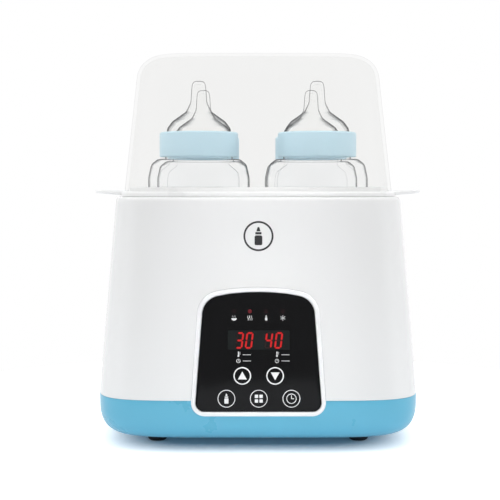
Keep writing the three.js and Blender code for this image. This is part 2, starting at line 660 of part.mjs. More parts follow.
const RIM_Z = 206.5;
const bottleProfile = [
  [0, BOTTLE_BASE_Z], [33, BOTTLE_BASE_Z], [36, BOTTLE_BASE_Z + 4], [35, 180], [33, 189.6], [29, 192.4],
  [23.3, 192.6], [23.3, RIM_Z], [20, RIM_Z], [20, 189], [26.4, 184], [27.5, 180], [28.4, 94],
  [24.5, 89.5], [0, 89.5],
];
const teatProfile = [
  [20.3, RIM_Z + GAP], [24.2, RIM_Z + GAP], [24.2, 209], [22.5, 209], [21.8, 213.8], [18.2, 218.6],
  [8.6, 225.7], [5.6, 233], [4.9, 243], [0, 246.3], [0, 244.2], [3.2, 241], [4, 232.5],
  [7.2, 224.6], [16.4, 217.2],
  [20.1, 211.4], [20.3, RIM_Z + GAP],
];
const collarProfile = [
  [24.6, 194], [27.1, 194], [27.1, 210], [26.1, 211], [22.9, 211], [22.9, 209.3], [24.6, 209.3], [24.6, 194],
];
const BOTTLE_SPOTS = [
  [-BOTTLE_X, -BOTTLE_Y], [BOTTLE_X, -BOTTLE_Y], [BOTTLE_X, BOTTLE_Y], [-BOTTLE_X, BOTTLE_Y],
];
BOTTLE_SPOTS.forEach(([x, y], i) => {
  addPart(`bottle_${i + 1}`, turned(bottleProfile), bottleClear).position.set(x, y, 0);
  addPart(`teat_${i + 1}`, turned(teatProfile, 16), teatClear).position.set(x, y, 0);
  addPart(`collar_${i + 1}`, turned(collarProfile), paleBlue).position.set(x, y, 0);
});

export default group;
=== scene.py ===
# Countertop bottle warmer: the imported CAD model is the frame, and the pieces here are its finished surfaces.

import math

import bmesh
import bpy
from mathutils import Matrix, Vector


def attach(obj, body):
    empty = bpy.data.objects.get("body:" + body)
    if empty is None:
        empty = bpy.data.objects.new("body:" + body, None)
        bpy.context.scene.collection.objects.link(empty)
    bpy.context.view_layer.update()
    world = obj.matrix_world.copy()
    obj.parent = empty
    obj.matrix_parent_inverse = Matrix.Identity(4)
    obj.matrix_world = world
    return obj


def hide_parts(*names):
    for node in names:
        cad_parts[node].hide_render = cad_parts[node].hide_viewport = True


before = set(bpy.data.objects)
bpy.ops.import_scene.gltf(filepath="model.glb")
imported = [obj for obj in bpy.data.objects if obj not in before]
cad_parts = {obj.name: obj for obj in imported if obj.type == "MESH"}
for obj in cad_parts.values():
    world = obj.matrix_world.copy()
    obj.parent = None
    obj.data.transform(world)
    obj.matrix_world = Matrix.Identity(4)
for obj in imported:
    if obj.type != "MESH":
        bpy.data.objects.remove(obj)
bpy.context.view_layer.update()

MM = 0.001

# ---------------------------------------------------------------- dimensions, in millimetres

GAP = 0.3
PLAN_POWER = 6.0
PLAN_SIDES = 192
BODY_HALF_X, BODY_HALF_Y, BODY_TAPER = 108.9, 98.0, 11.4
SEAM_Z, BODY_TOP_Z = 34.7, 167.0
SHELL_WALL, SHELL_TOP_RADIUS = 2.5, 3.0
BASE_Z, BOWL_RADIUS, BOWL_POWER, TRAY_WALL = 6.7, 28.0, 3.36, 2.5
FOOT_X, FOOT_Y = 69.0, 55.0
OPENING_X, OPENING_Y = 86.0, 81.0
BASKET_HALF_X, BASKET_HALF_Y, BASKET_WALL, BASKET_DRAFT = 84.5, 79.5, 2.0, 1.2
BASKET_FLOOR_Z, BASKET_FLOOR = 80.0, 2.7
FLANGE_Z, FLANGE_THICK, FLANGE_HALF_X, FLANGE_HALF_Y = 167.3, 3.0, 94.0, 85.5
EAR_TIP_X, EAR_HALF_Y = 114.2, 46.0
LIP_HEIGHT = 3.0
HOOD_BOTTOM_Z, HOOD_TOP_Z = 170.6, 264.0
HOOD_HALF_X, HOOD_HALF_Y, HOOD_TAPER, HOOD_WALL, HOOD_TOP_RADIUS = 92.0, 82.5, 10.1, 2.2, 15.0
CHAMBER_FLOOR_Z, CHAMBER_RIM_Z, CHAMBER_WALL = 66.0, 161.2, 1.2
CHAMBER_HALF_X, CHAMBER_HALF_Y, CHAMBER_DRAFT = 87.4, 82.4, 1.2
BOTTLE_X, BOTTLE_Y = 40.85, 39.0
PANEL_BOTTOM_Z, PANEL_BOTTOM_Y, PANEL_LEAN = 24.7, -99.5, math.radians(3.3)
PANEL_HEIGHT, PANEL_BOTTOM_HALF, PANEL_TOP_HALF = 83.9, 44.5, 39.0
PANEL_BOTTOM_RADIUS, PANEL_TOP_RADIUS, PANEL_ARCH = 8.8, 15.5, 4.4
BEZEL_DEPTH, BEZEL_BORDER, LEDGE_WIDTH = 8.0, 2.9, 2.4
ROW_LEDS, DISPLAY_Y, ROW_ARROWS, ROW_KEYS = 68.3, 49.7, 26.4, 11.6
COLUMN_LEDS = (-15.9, -5.6, 5.0, 15.8)
COLUMN_ARROWS = (-10.5, 10.8)
COLUMN_KEYS = (-20.8, 0.2, 21.4)
KEY_RADIUS, ARROW_LINE, KEY_LINE = 5.72, 0.77, 0.45
LABEL_LEFTS = (-13.0, 12.0)  # the two blocks of small signs under the display
MARK_Z, MARK_RADIUS, MARK_LINE = 141.5, 9.8, 1.2
LENS_RECESS, LENS_THICK = 0.4, 1.6
PANEL_GAP = 0.1  # between the bezel and the body round it
INLET_X, INLET_Z, INLET_HALF_X, INLET_HALF_Z = 42.0, 54.0, 10.5, 7.0
TONGUE_INSET, TONGUE_THICK, TONGUE_HEIGHT = 2.8, 1.8, 4.0
POST_RADIUS, POST_BOTTOM_Z, POST_TOP_Z = 6.0, 40.0, 60.0
TURNED_SIDES = 96

# ---------------------------------------------------------------- camera, stage and light

CAMERA_PLACE = Vector((-5.5, -839.0, 174.7)) * MM
CAMERA_TILT = math.radians(3.23)
CAMERA_LENS = 82.9
STUDIO_SIDES, STUDIO_FRONT = 1.0, 0.34  # brightness of the surround
FLOOR_RADIUS = 330.0
PAINTED_SHADOW_HALF_X, PAINTED_SHADOW_HALF_Y = 113.0, 103.0  # the painted shadow, dark and bluish, on the floor under the base
FLOOR_BOUNCE = 0.25  # share of the floor's own light that reaches the object

camera_data = bpy.data.cameras.new("camera")
camera_data.lens = CAMERA_LENS
camera_data.sensor_width = 36.0
camera_data.clip_end = 60.0
camera = bpy.data.objects.new("camera", camera_data)
camera.location = CAMERA_PLACE
camera.rotation_euler = (math.pi / 2 - CAMERA_TILT, 0.0, 0.0)
bpy.context.scene.collection.objects.link(camera)
bpy.context.scene.camera = camera


def aim(place, target):
    """The rotation that points a lamp's -Z from place to target."""
    return (Vector(target) - Vector(place)).to_track_quat("-Z", "Y").to_euler()


def softbox(name, place, target, width, height, power, tint=(1.0, 1.0, 1.0)):
    """A rectangular studio lamp: place and target in metres, power in watts."""
    data = bpy.data.lights.new(name, "AREA")
    data.shape = "RECTANGLE"
    data.size, data.size_y = width, height
    data.energy = power
    data.color = tint
    lamp = bpy.data.objects.new(name, data)
    lamp.location = place
    lamp.rotation_euler = aim(place, target)
    bpy.context.scene.collection.objects.link(lamp)
    return lamp


softbox("lamp_top", (0.0, -0.2, 2.1), (0.0, 0.0, 0.1), 2.6, 2.2, 9.0)
lamp_fill = softbox("lamp_fill", (0.0, -1.3, 0.3), (0.0, 0.0, 0.12), 0.6, 1.0, 1.9)
lamp_front = softbox("lamp_front", (0.0, -0.62, 0.42), (0.0, -0.1, 0.17), 0.12, 0.3, 0.03)
lamp_front.data.spread = math.radians(17)  # a gridded lamp: a soft bright band down the middle
for lamp in (lamp_fill, lamp_front):
    lamp.visible_glossy = False  # they fill the front without showing in the black panel
softbox("lamp_left", (-1.5, -0.7, 0.7), (0.0, 0.0, 0.12), 0.9, 1.7, 2.0)
softbox("lamp_right", (1.5, -0.7, 0.7), (0.0, 0.0, 0.12), 0.9, 1.7, 2.0)


def make_world():
    """A white studio, dimmer in front of the object, and plain white to the camera."""
    world = bpy.data.worlds.new("studio")
    world.use_nodes = True
    tree = world.node_tree
    tree.nodes.clear()

    def add(kind, **values):
        node = tree.nodes.new("ShaderNode" + kind)
        for key, value in values.items():
            node.inputs[key.replace("_", " ")].default_value = value
        return node

    out = tree.nodes.new("ShaderNodeOutputWorld")
    direction = add("SeparateXYZ")
    front = add("MapRange", From_Min=-0.25, From_Max=-0.95, To_Min=STUDIO_SIDES, To_Max=STUDIO_FRONT)
    front.interpolation_type = "SMOOTHSTEP"
    room = add("Background", Color=(0.985, 0.99, 1.0, 1.0))
    seen = add("Background", Color=(1.0, 1.0, 1.0, 1.0), Strength=1.0)
    rays, mix = add("LightPath"), add("MixShader")
    tree.links.new(add("TexCoord").outputs["Generated"], direction.inputs[0])
    tree.links.new(direction.outputs["Y"], front.inputs["Value"])
    tree.links.new(front.outputs[0], room.inputs["Strength"])
    tree.links.new(rays.outputs["Is Camera Ray"], mix.inputs[0])
    tree.links.new(room.outputs[0], mix.inputs[1])
    tree.links.new(seen.outputs[0], mix.inputs[2])
    tree.links.new(mix.outputs[0], out.inputs["Surface"])
    bpy.context.scene.world = world


make_world()
bpy.context.scene.view_settings.view_transform = "Standard"
bpy.context.scene.cycles.transparent_max_bounces = 48
bpy.context.scene.cycles.max_bounces = 14
bpy.context.scene.cycles.transmission_bounces = 12

# ---------------------------------------------------------------- node helpers


class Nodes:
    """A short way to write a node tree: add nodes, set their inputs and link them."""

    def __init__(self, name):
        self.material = bpy.data.materials.new(name)
        self.material.use_nodes = True
        self.tree = self.material.node_tree
        self.tree.nodes.clear()
        self.out = self.add("ShaderNodeOutputMaterial")

    def add(self, kind, inputs=None, **settings):
        node = self.tree.nodes.new(kind)
        for key, value in settings.items():
            setattr(node, key, value)
        for key, value in (inputs or {}).items():
            self.put(node, key, value)
        return node

    def put(self, node, key, value):
        socket = node.inputs[key]
        if isinstance(value, bpy.types.NodeSocket):
            self.tree.links.new(value, socket)
        elif isinstance(value, tuple) and len(value) == 3 and socket.type == "RGBA":
            socket.default_value = (*value, 1.0)
        else:
            socket.default_value = value

    def surface(self, shader):
        self.tree.links.new(shader, self.out.inputs["Surface"])
        return self.material

    def coords(self):
        return self.add("ShaderNodeTexCoord").outputs["Object"]

    def noise(self, scale, detail=3.0, roughness=0.55, stretch=None):
        where = self.coords()
        if stretch:
            where = self.add("ShaderNodeMapping", {"Vector": where, "Scale": stretch}).outputs[0]
        return self.add("ShaderNodeTexNoise", {"Vector": where, "Scale": scale, "Detail": detail,
                                               "Roughness": roughness}).outputs["Fac"]

    def ranged(self, value, low, high, start=0.3, end=0.7):
        return self.add("ShaderNodeMapRange", {"Value": value, "From Min": start, "From Max": end,
                                               "To Min": low, "To Max": high}).outputs[0]

    def blend(self, factor, one, two):
        node = self.add("ShaderNodeMix", data_type="RGBA")
        self.put(node, 0, factor)
        self.put(node, 6, one)
        self.put(node, 7, two)
        return node.outputs[2]

    def bump(self, height, strength, distance):
        return self.add("ShaderNodeBump", {"Height": height, "Strength": strength,
                                           "Distance": distance}).outputs["Normal"]


def moulded(name, color, roughness, shade=0.97, grain=0.0, grain_scale=900.0, coat=0.0, flow=6.0,
            subsurface=0.0, specular=0.5):
    """Injection-moulded plastic: faint flow tone, uneven gloss, and an optional fine grain."""
    n = Nodes(name)
    tone = n.ranged(n.noise(flow, 2.0), 0.0, 1.0)
    dark = tuple(c * shade for c in color)
    gloss = n.ranged(n.noise(38.0, 4.0), roughness * 0.85, roughness * 1.18)
    inputs = {"Base Color": n.blend(tone, dark, color), "Roughness": gloss, "Specular IOR Level": specular}
    if coat:
        inputs["Coat Weight"] = coat
        inputs["Coat Roughness"] = 0.04
    if subsurface:
        inputs["Subsurface Weight"] = subsurface
        inputs["Subsurface Radius"] = (1.0, 1.0, 1.0)
        inputs["Subsurface Scale"] = 0.002
    ripple = n.noise(14.0, 1.0)
    if grain:
        fine = n.noise(grain_scale, 2.0)
        first = n.bump(ripple, 0.08, 0.0004)
        second = n.add("ShaderNodeBump", {"Height": fine, "Strength": grain, "Distance": 0.0001,
                                          "Normal": first})
        inputs["Normal"] = second.outputs["Normal"]
    else:
        inputs["Normal"] = n.bump(ripple, 0.06, 0.0004)
    return n.surface(n.add("ShaderNodeBsdfPrincipled", inputs).outputs[0])


def metal(name, color, roughness, scale=300.0, stretch=None, anisotropic=0.0):
    """Bare or plated metal with fine uneven polish."""
    n = Nodes(name)
    marks = n.noise(scale, 4.0, 0.6, stretch)
    dark = tuple(c * 0.82 for c in color)
    inputs = {"Base Color": n.blend(n.ranged(marks, 0.0, 1.0), dark, color), "Metallic": 1.0,
              "Roughness": n.ranged(marks, roughness * 0.8, roughness * 1.3),
              "Normal": n.bump(marks, 0.15, 0.0001)}
    if anisotropic:
        inputs["Anisotropic"] = anisotropic
    return n.surface(n.add("ShaderNodeBsdfPrincipled", inputs).outputs[0])


def rubbery(name, color, roughness=0.75):
    n = Nodes(name)
    fine = n.noise(1400.0, 3.0)
    broad = n.noise(60.0, 3.0)
    light = tuple(min(1.0, c * 1.3 + 0.006) for c in color)
    inputs = {"Base Color": n.blend(n.ranged(broad, 0.0, 1.0), color, light),
              "Roughness": n.ranged(fine, roughness * 0.9, roughness * 1.1),
              "Normal": n.bump(fine, 0.35, 0.0002)}
    return n.surface(n.add("ShaderNodeBsdfPrincipled", inputs).outputs[0])


def see_through(name, middle, edge, start, full, shine, roughness, cloud=0.0, shade=0.985):
    """Clear plastic or silicone: what is behind shows unbent, with a dark line where a wall is edge on.

    middle and edge tint what passes face on and edge on. The line starts and is full at these values of
    facing, which is 0 face on and 1 edge on. shine weighs the reflection, and shade is how much light
    passes to what stands behind.
    """
    n = Nodes(name)
    facing = n.add("ShaderNodeLayerWeight", {"Blend": 0.5}).outputs["Facing"]
    step = n.add("ShaderNodeMapRange", {"Value": facing, "From Min": start, "From Max": full},
                 interpolation_type="SMOOTHSTEP")
    steep = step.outputs[0]
    tint = n.blend(steep, middle, edge)
    if cloud:
        mottled = n.add("ShaderNodeVectorMath", {0: tint}, operation="SCALE")
        n.put(mottled, 3, n.ranged(n.noise(22.0, 3.0), 1.0 - cloud, 1.0))
        tint = mottled.outputs[0]
    through = n.add("ShaderNodeBsdfTransparent", {"Color": tint}).outputs[0]
    wave = n.bump(n.noise(18.0, 2.0), 0.05, 0.0005)
    gloss = n.add("ShaderNodeBsdfGlossy", {"Color": (1.0, 1.0, 1.0), "Roughness": roughness,
                                           "Normal": wave}).outputs[0]
    grazing = n.add("ShaderNodeMath", {0: facing, 1: 5.0}, operation="POWER").outputs[0]
    amount = n.ranged(grazing, 0.04 * shine, shine, 0.0, 1.0)
    seen = n.add("ShaderNodeMixShader", {0: amount, 1: through, 2: gloss}).outputs[0]
    lit = n.add("ShaderNodeBsdfTransparent", {"Color": (shade, shade, shade)}).outputs[0]
    shadow = n.add("ShaderNodeLightPath").outputs["Is Shadow Ray"]
    return n.surface(n.add("ShaderNodeMixShader", {0: shadow, 1: seen, 2: lit}).outputs[0])


def glowing(name, color, strength, base):
    n = Nodes(name)
    soft = n.ranged(n.noise(900.0, 2.0), 0.9, 1.0)
    inputs = {"Base Color": n.blend(soft, tuple(c * 0.8 for c in base), base), "Roughness": 0.35,
              "Emission Color": (*color, 1.0), "Emission Strength": strength}
    return n.surface(n.add("ShaderNodeBsdfPrincipled", inputs).outputs[0])


WHITE_BODY = moulded("white_body", (0.85, 0.85, 0.845), 0.2, 0.985, coat=0.3)
BEZEL_WHITE = moulded("bezel_white", (0.93, 0.93, 0.935), 0.2, 0.99, coat=0.3)
BLUE_BASE = moulded("blue_base", (0.122, 0.475, 0.667), 0.3, 0.95, grain=0.05, coat=0.2)
LENS_BLACK = moulded("lens_black", (0.005, 0.005, 0.0055), 0.14, 0.9, specular=0.2)
WINDOW_GREY = moulded("window_grey", (0.012, 0.015, 0.015), 0.2, 0.9, specular=0.2)
PRINT_WHITE = moulded("print_white", (0.85, 0.85, 0.85), 0.45, 0.96, grain=0.1, grain_scale=3000.0)
PRINT_GREY = moulded("print_grey", (0.03, 0.03, 0.032), 0.5, 0.9, grain=0.1, grain_scale=3000.0)
SEGMENT_LIT = glowing("segment_lit", (1.0, 0.002, 0.003), 0.55, (0.10, 0.001, 0.001))
SEGMENT_DARK = moulded("segment_dark", (0.02, 0.008, 0.008), 0.3, 0.8, specular=0.2)
LED_LIT = glowing("led_lit", (0.75, 0.006, 0.03), 0.12, (0.05, 0.002, 0.005))
LED_DARK = moulded("led_dark", (0.018, 0.003, 0.005), 0.2, 0.7)
BASKET_WHITE = moulded("basket_white", (0.93, 0.93, 0.925), 0.3, 0.98, grain=0.06, subsurface=0.1)
COLLAR_BLUE = moulded("collar_blue", (0.66, 0.87, 0.97), 0.38, 0.97, grain=0.05, subsurface=0.15)
FOOT_RUBBER = rubbery("foot_rubber", (0.012, 0.014, 0.018))
SEAL_SILICONE = rubbery("seal_silicone", (0.62, 0.62, 0.62), 0.5)
HOOD_TINT, SILICONE_TINT = (0.972, 0.972, 0.970), (0.999, 0.999, 0.998)
HOOD_CLEAR = see_through("hood_clear", HOOD_TINT, (0.78, 0.78, 0.78), 0.92, 0.985, 0.12, 0.04, 0.002)
HOOD_INSIDE = see_through("hood_inside", HOOD_TINT, (0.95, 0.95, 0.95), 0.93, 0.985, 0.05, 0.04, 0.002)
BOTTLE_CLEAR = see_through("bottle_clear", (0.998, 0.999, 1.0), (0.16, 0.17, 0.18), 0.66, 0.975, 0.25, 0.03)
BOTTLE_INSIDE = see_through("bottle_inside", (0.998, 0.999, 1.0), (0.45, 0.46, 0.48), 0.86, 0.99, 0.1, 0.03)
TEAT_CLEAR = see_through("teat_silicone", SILICONE_TINT, (0.10, 0.10, 0.11), 0.48, 0.97, 0.2, 0.1, 0.002)
TEAT_INSIDE = see_through("teat_inside", SILICONE_TINT, (0.5, 0.5, 0.51), 0.84, 0.985, 0.1, 0.1, 0.002)
CHAMBER_STEEL = metal("chamber_steel", (0.62, 0.63, 0.64), 0.28, 500.0, (1.0, 1.0, 0.05))
ALUMINIUM = metal("heater_aluminium", (0.55, 0.56, 0.58), 0.45, 160.0)
DARK_STEEL = metal("element_steel", (0.36, 0.35, 0.34), 0.4, 220.0)
ZINC = metal("zinc_steel", (0.62, 0.63, 0.65), 0.35, 400.0)
NICKEL = metal("pin_nickel", (0.70, 0.69, 0.66), 0.18, 500.0)
DARK_PLASTIC = moulded("dark_plastic", (0.022, 0.022, 0.024), 0.45, 0.8, grain=0.4, grain_scale=1800.0)
BOARD_GREEN = moulded("board_green", (0.015, 0.10, 0.045), 0.35, 0.75, grain=0.15, grain_scale=500.0,
                      flow=90.0)
DISPLAY_GREY = moulded("display_grey", (0.03, 0.04, 0.04), 0.4, 0.9, grain=0.1)
TAPE_YELLOW = moulded("transformer_tape", (0.70, 0.45, 0.05), 0.35, 0.9, flow=40.0)
RELAY_BLUE = moulded("relay_blue", (0.02, 0.10, 0.35), 0.35, 0.9, grain=0.1)
LEAD_RED = rubbery("lead_red", (0.42, 0.02, 0.015), 0.5)
LEAD_BLUE = rubbery("lead_blue", (0.015, 0.06, 0.36), 0.5)
LEAD_GREY = rubbery("lead_grey", (0.28, 0.29, 0.31), 0.5)

# ---------------------------------------------------------------- mesh helpers, in millimetres


def soft_square(half_x, half_y, z, count=PLAN_SIDES):
    """A level ring on |x/a|^n + |y/b|^n = 1, counter-clockwise from +X."""
    ring = []
    for k in range(count):
        angle = 2 * math.pi * k / count
        c, s = math.cos(angle), math.sin(angle)
        reach = (abs(c / half_x) ** PLAN_POWER + abs(s / half_y) ** PLAN_POWER) ** (-1 / PLAN_POWER)
        ring.append((reach * c, reach * s, z))
    return ring


def rounded(corners, steps=5, closed=True):
    """Rounds each corner (x, y, radius) of an outline or profile with a short arc."""
    out = []
    for i, (x, y, radius) in enumerate(corners):
        end = not closed and i in (0, len(corners) - 1)
        if end or not radius:
            out.append((x, y))
            continue
        here = Vector((x, y))
        back = (Vector(corners[i - 1][:2]) - here).normalized()
        on = (Vector(corners[(i + 1) % len(corners)][:2]) - here).normalized()
        half = back.angle(on) / 2
        middle = here + (back + on).normalized() * radius / math.sin(half)
        start = here + back * radius / math.tan(half) - middle
        stop = here + on * radius / math.tan(half) - middle
        turn = math.pi - 2 * half
        for k in range(steps + 1):
            a = turn * k / steps
            point = middle + (start * math.sin(turn - a) + stop * math.sin(a)) / math.sin(turn)
            out.append((point.x, point.y))
    return out


def skin(rings, closed=False):
    """Skins a stack of equal rings. A closed stack returns to its first ring, an open one is capped."""
    bm = bmesh.new()
    rows = [[bm.verts.new(p) for p in ring] for ring in rings]
    count = len(rows[0])
    for k in range(len(rows) if closed else len(rows) - 1):
        low, high = rows[k], rows[(k + 1) % len(rows)]
        for i in range(count):
            j = (i + 1) % count
            bm.faces.new((low[i], low[j], high[j], high[i]))
    if not closed:
        bm.faces.new(rows[0][::-1])
        bm.faces.new(rows[-1])
    return bm


def turned(profile, centre=(0.0, 0.0), sides=TURNED_SIDES, closed=False, bm=None):
    """Turns an (r, z) profile about the vertical line through centre. It starts and ends on the axis,
    or, when closed, goes right round."""
    bm = bm or bmesh.new()
    rows = []
    for r, z in profile:
        count = 1 if r < 1e-6 else sides
        turns = [2 * math.pi * k / sides for k in range(count)]
        rows.append([bm.verts.new((centre[0] + r * math.cos(a), centre[1] + r * math.sin(a), z))
                     for a in turns])
    for low, high in zip(rows, rows[1:] + (rows[:1] if closed else [])):
        for i in range(sides):
            j = (i + 1) % sides
            ends = [low[i % len(low)], low[j % len(low)], high[j % len(high)], high[i % len(high)]]
            face = [v for k, v in enumerate(ends) if v not in ends[:k]]
            if len(face) > 2:
                bm.faces.new(face)
    return bm


def slab(bm, outline, bottom, top, hole=None):
    """Adds a flat plate with this outline, and an optional hole that has as many points."""
    loops = []
    for edge in (outline, hole):
        if edge:
            loops.append([[bm.verts.new((x, y, z)) for x, y in edge] for z in (bottom, top)])
    for low, high in loops:
        for i in range(len(low)):
            j = (i + 1) % len(low)
            bm.faces.new((low[i], low[j], high[j], high[i]))
    if hole:
        for level in (0, 1):
            outer, inner = loops[0][level], loops[1][level]
            for i in range(len(outer)):
                j = (i + 1) % len(outer)
                bm.faces.new((outer[i], outer[j], inner[j], inner[i]))
    else:
        bm.faces.new(loops[0][0][::-1])
        bm.faces.new(loops[0][1])


def box(bm, x0, x1, y0, y1, z0, z1):
    slab(bm, [(x0, y0), (x1, y0), (x1, y1), (x0, y1)], z0, z1)


def smooth(obj, sharp=30.0):
    """Smooth shading, with edges sharper than this many degrees kept crisp."""
    mesh = obj.data
    mesh.polygons.foreach_set("use_smooth", [True] * len(mesh.polygons))
    mesh.set_sharp_from_angle(angle=math.radians(sharp))


def made(name, bm, material=None, place=Matrix.Identity(4), sharp=30.0):
    """Turns a bmesh in millimetres into an object in metres; place is in metres."""
    bmesh.ops.recalc_face_normals(bm, faces=bm.faces)
    mesh = bpy.data.meshes.new(name)
    bm.to_mesh(mesh)
    bm.free()
    mesh.transform(place @ Matrix.Scale(MM, 4))
    obj = bpy.data.objects.new(name, mesh)
    bpy.context.scene.collection.objects.link(obj)
    if material:
        mesh.materials.append(material)
    smooth(obj, sharp)
    return obj


def carve(obj, *steps):
    """Joins or takes away helper solids: steps are ("UNION" or "DIFFERENCE", helper object)."""
    for operation, helper in steps:
        modifier = obj.modifiers.new("carve", "BOOLEAN")
        modifier.operation, modifier.solver, modifier.object = operation, "EXACT", helper
    graph = bpy.context.evaluated_depsgraph_get()
    mesh = bpy.data.meshes.new_from_object(obj.evaluated_get(graph))
    obj.modifiers.clear()
    obj.data = mesh
    for _, helper in steps:
        bpy.data.objects.remove(helper)
    smooth(obj)
    return obj


def settle(obj, body, slot, *nodes):
    """Rides a piece on its body, and hides the CAD nodes that it stands for. slot, the name of its finish, is
    not used.
    """
    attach(obj, body)
    if nodes:
        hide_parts(*nodes)
    return obj


# ---------------------------------------------------------------- the plan of each shell


def taper_at(z):
    return BODY_TAPER * max(z - SEAM_Z, 0.0) / (BODY_TOP_Z - SEAM_Z)


def body_halves(z, inset=0.0):
    taper = taper_at(z)
    return BODY_HALF_X - taper - inset, BODY_HALF_Y - taper * 10 / BODY_TAPER - inset


def body_ring(z, inset=0.0):
    return soft_square(*body_halves(z, inset), z)


def bowl_ring(turn, inset=0.0, radius=BOWL_RADIUS):
    """The tray's fillet: turn goes from 0 at the side to 1 at the underside."""
    a = turn * math.pi / 2
    drop = radius * math.sin(a) ** (2 / BOWL_POWER)
    pull = radius * (1 - max(math.cos(a), 0.0) ** (2 / BOWL_POWER))
    half_x, half_y = body_halves(SEAM_Z, inset)
    return soft_square(half_x - pull, half_y - pull, SEAM_Z - drop)


def hood_halves(z, inset=0.0):
    lean = HOOD_TAPER * (z - HOOD_BOTTOM_Z) / (HOOD_TOP_Z - HOOD_BOTTOM_Z)
    return HOOD_HALF_X - lean - inset, HOOD_HALF_Y - lean - inset


def steps_between(low, high, count):
    return [low + (high - low) * k / count for k in range(count + 1)]


def fillet(corner_in, corner_z, radius, start, stop, count=5):
    """(inset, z) points of a quarter round about (corner_in, corner_z), from start to stop degrees."""
    angles = [math.radians(a) for a in steps_between(start, stop, count)]
    return [(corner_in - radius * math.cos(a), corner_z + radius * math.sin(a)) for a in angles]


PANEL = Matrix.Translation((0.0, PANEL_BOTTOM_Y * MM, PANEL_BOTTOM_Z * MM)) @ Matrix.Rotation(
    math.pi / 2 - PANEL_LEAN, 4, "X")


def panel_outline(inset):
    """The panel's outline in its own plane: straight leaning sides under an arched top."""
    low, top = PANEL_BOTTOM_HALF - inset, PANEL_TOP_HALF - inset
    shoulder = PANEL_HEIGHT - PANEL_ARCH - inset
    low_radius = max(PANEL_BOTTOM_RADIUS - inset, 1.5)
    top_radius = max(PANEL_TOP_RADIUS - inset, 2.0)
    corners = [(-low, inset, low_radius), (low, inset, low_radius), (top, shoulder, top_radius)]
    reach = top - top_radius
    for k in range(1, 12):
        x = reach * (1 - k / 6)
        corners.append((x, shoulder + PANEL_ARCH * (1 - (x / top) ** 2), 0.0))
    corners.append((-top, shoulder, top_radius))
    return rounded(corners, 9)


def panel_ring(inset, depth):
    return [(x, y, depth) for x, y in panel_outline(inset)]


def panel_block():
    """The solid that cuts the panel's seat out of the body."""
    ends = [panel_ring(-PANEL_GAP, depth) for depth in (-30.0, 20.0)]
    return made("panel_block", skin(ends), place=PANEL)


# ---------------------------------------------------------------- white outer shell

EDGE, SEAM_EDGE = 0.6, 0.25
rings = [body_ring(z, inset) for inset, z in fillet(SEAM_EDGE, SEAM_Z + SEAM_EDGE, SEAM_EDGE, -90, 0)]
rings += [body_ring(z) for z in steps_between(SEAM_Z + 3, BODY_TOP_Z - SHELL_TOP_RADIUS - 2, 24)]
rings += [body_ring(z, inset) for inset, z in
          fillet(SHELL_TOP_RADIUS, BODY_TOP_Z - SHELL_TOP_RADIUS, SHELL_TOP_RADIUS, 0, 90, 8)]
rings += [soft_square(OPENING_X + EDGE - d, OPENING_Y + EDGE - d, z) for d, z in
          [(0.0, BODY_TOP_Z), (0.4, BODY_TOP_Z - 0.15), (EDGE, BODY_TOP_Z - EDGE),
           (EDGE, BODY_TOP_Z - SHELL_WALL)]]
rings += [body_ring(z, SHELL_WALL) for z in steps_between(BODY_TOP_Z - SHELL_WALL, SEAM_Z, 12)]
shell = made("outer_shell_form", skin(rings, closed=True), WHITE_BODY)

posts = bmesh.new()
for side_x in (-1, 1):
    for side_y in (-1, 1):
        x, y = side_x * FOOT_X, side_y * FOOT_Y
        turned([(0, POST_BOTTOM_Z), (POST_RADIUS, POST_BOTTOM_Z), (POST_RADIUS, POST_TOP_Z), (0, POST_TOP_Z)],
               (x, y), 32, bm=posts)
back_wall_y = body_halves(INLET_Z)[1]
hole = bmesh.new()
box(hole, INLET_X - INLET_HALF_X, INLET_X + INLET_HALF_X, back_wall_y - 8, back_wall_y + 4,
    INLET_Z - INLET_HALF_Z, INLET_Z + INLET_HALF_Z)
carve(shell, ("UNION", made("posts", posts)), ("DIFFERENCE", made("hole", hole)),
      ("DIFFERENCE", panel_block()))
settle(shell, "housing", "white_body", "outer_shell")

# ---------------------------------------------------------------- blue base tray

tray_top = SEAM_Z - 0.1
rings = [bowl_ring(turn) for turn in steps_between(1.0, 0.1, 22)]
rings += [body_ring(z, inset) for inset, z in fillet(SEAM_EDGE, tray_top - SEAM_EDGE, SEAM_EDGE, 0, 90)]
rings += [body_ring(tray_top, TONGUE_INSET), body_ring(tray_top + TONGUE_HEIGHT, TONGUE_INSET),
          body_ring(tray_top + TONGUE_HEIGHT, TONGUE_INSET + TONGUE_THICK)]
rings += [bowl_ring(turn, TONGUE_INSET + TONGUE_THICK, BOWL_RADIUS - TRAY_WALL)
          for turn in steps_between(0.1, 1.0, 14)]
tray = made("base_tray_form", skin(rings), BLUE_BASE)

tubes, bores = bmesh.new(), bmesh.new()
for side_x in (-1, 1):
    for side_y in (-1, 1):
        spot = (side_x * FOOT_X, side_y * FOOT_Y)
        turned([(0, 3.4), (7.3, 3.4), (7.9, 3.7), (9.4, 6.4), (9.5, 8.4), (6, 8.4), (6, 39.7), (0, 39.7)],
               spot, 48, bm=tubes)
        turned([(0, 1), (4.2, 1), (4.2, 34), (2.3, 34), (2.3, 41), (0, 41)], spot, 32, bm=bores)
for x in (-44, 32):
    for y in (-32, 32):
        turned([(0, BASE_Z + 1), (3, BASE_Z + 1), (3, 17.7), (0, 17.7)], (x, y), 24, bm=tubes)
for x in (-15, -5, 5, 15):
    vent = rounded([(x - 1.5, -14, 1.4), (x + 1.5, -14, 1.4), (x + 1.5, 14, 1.4), (x - 1.5, 14, 1.4)])
    slab(bores, vent, BASE_Z - 2, BASE_Z + 5)
carve(tray, ("UNION", made("tubes", tubes)), ("DIFFERENCE", made("bores", bores)),
      ("DIFFERENCE", panel_block()))
settle(tray, "housing", "blue_base", "base_tray")

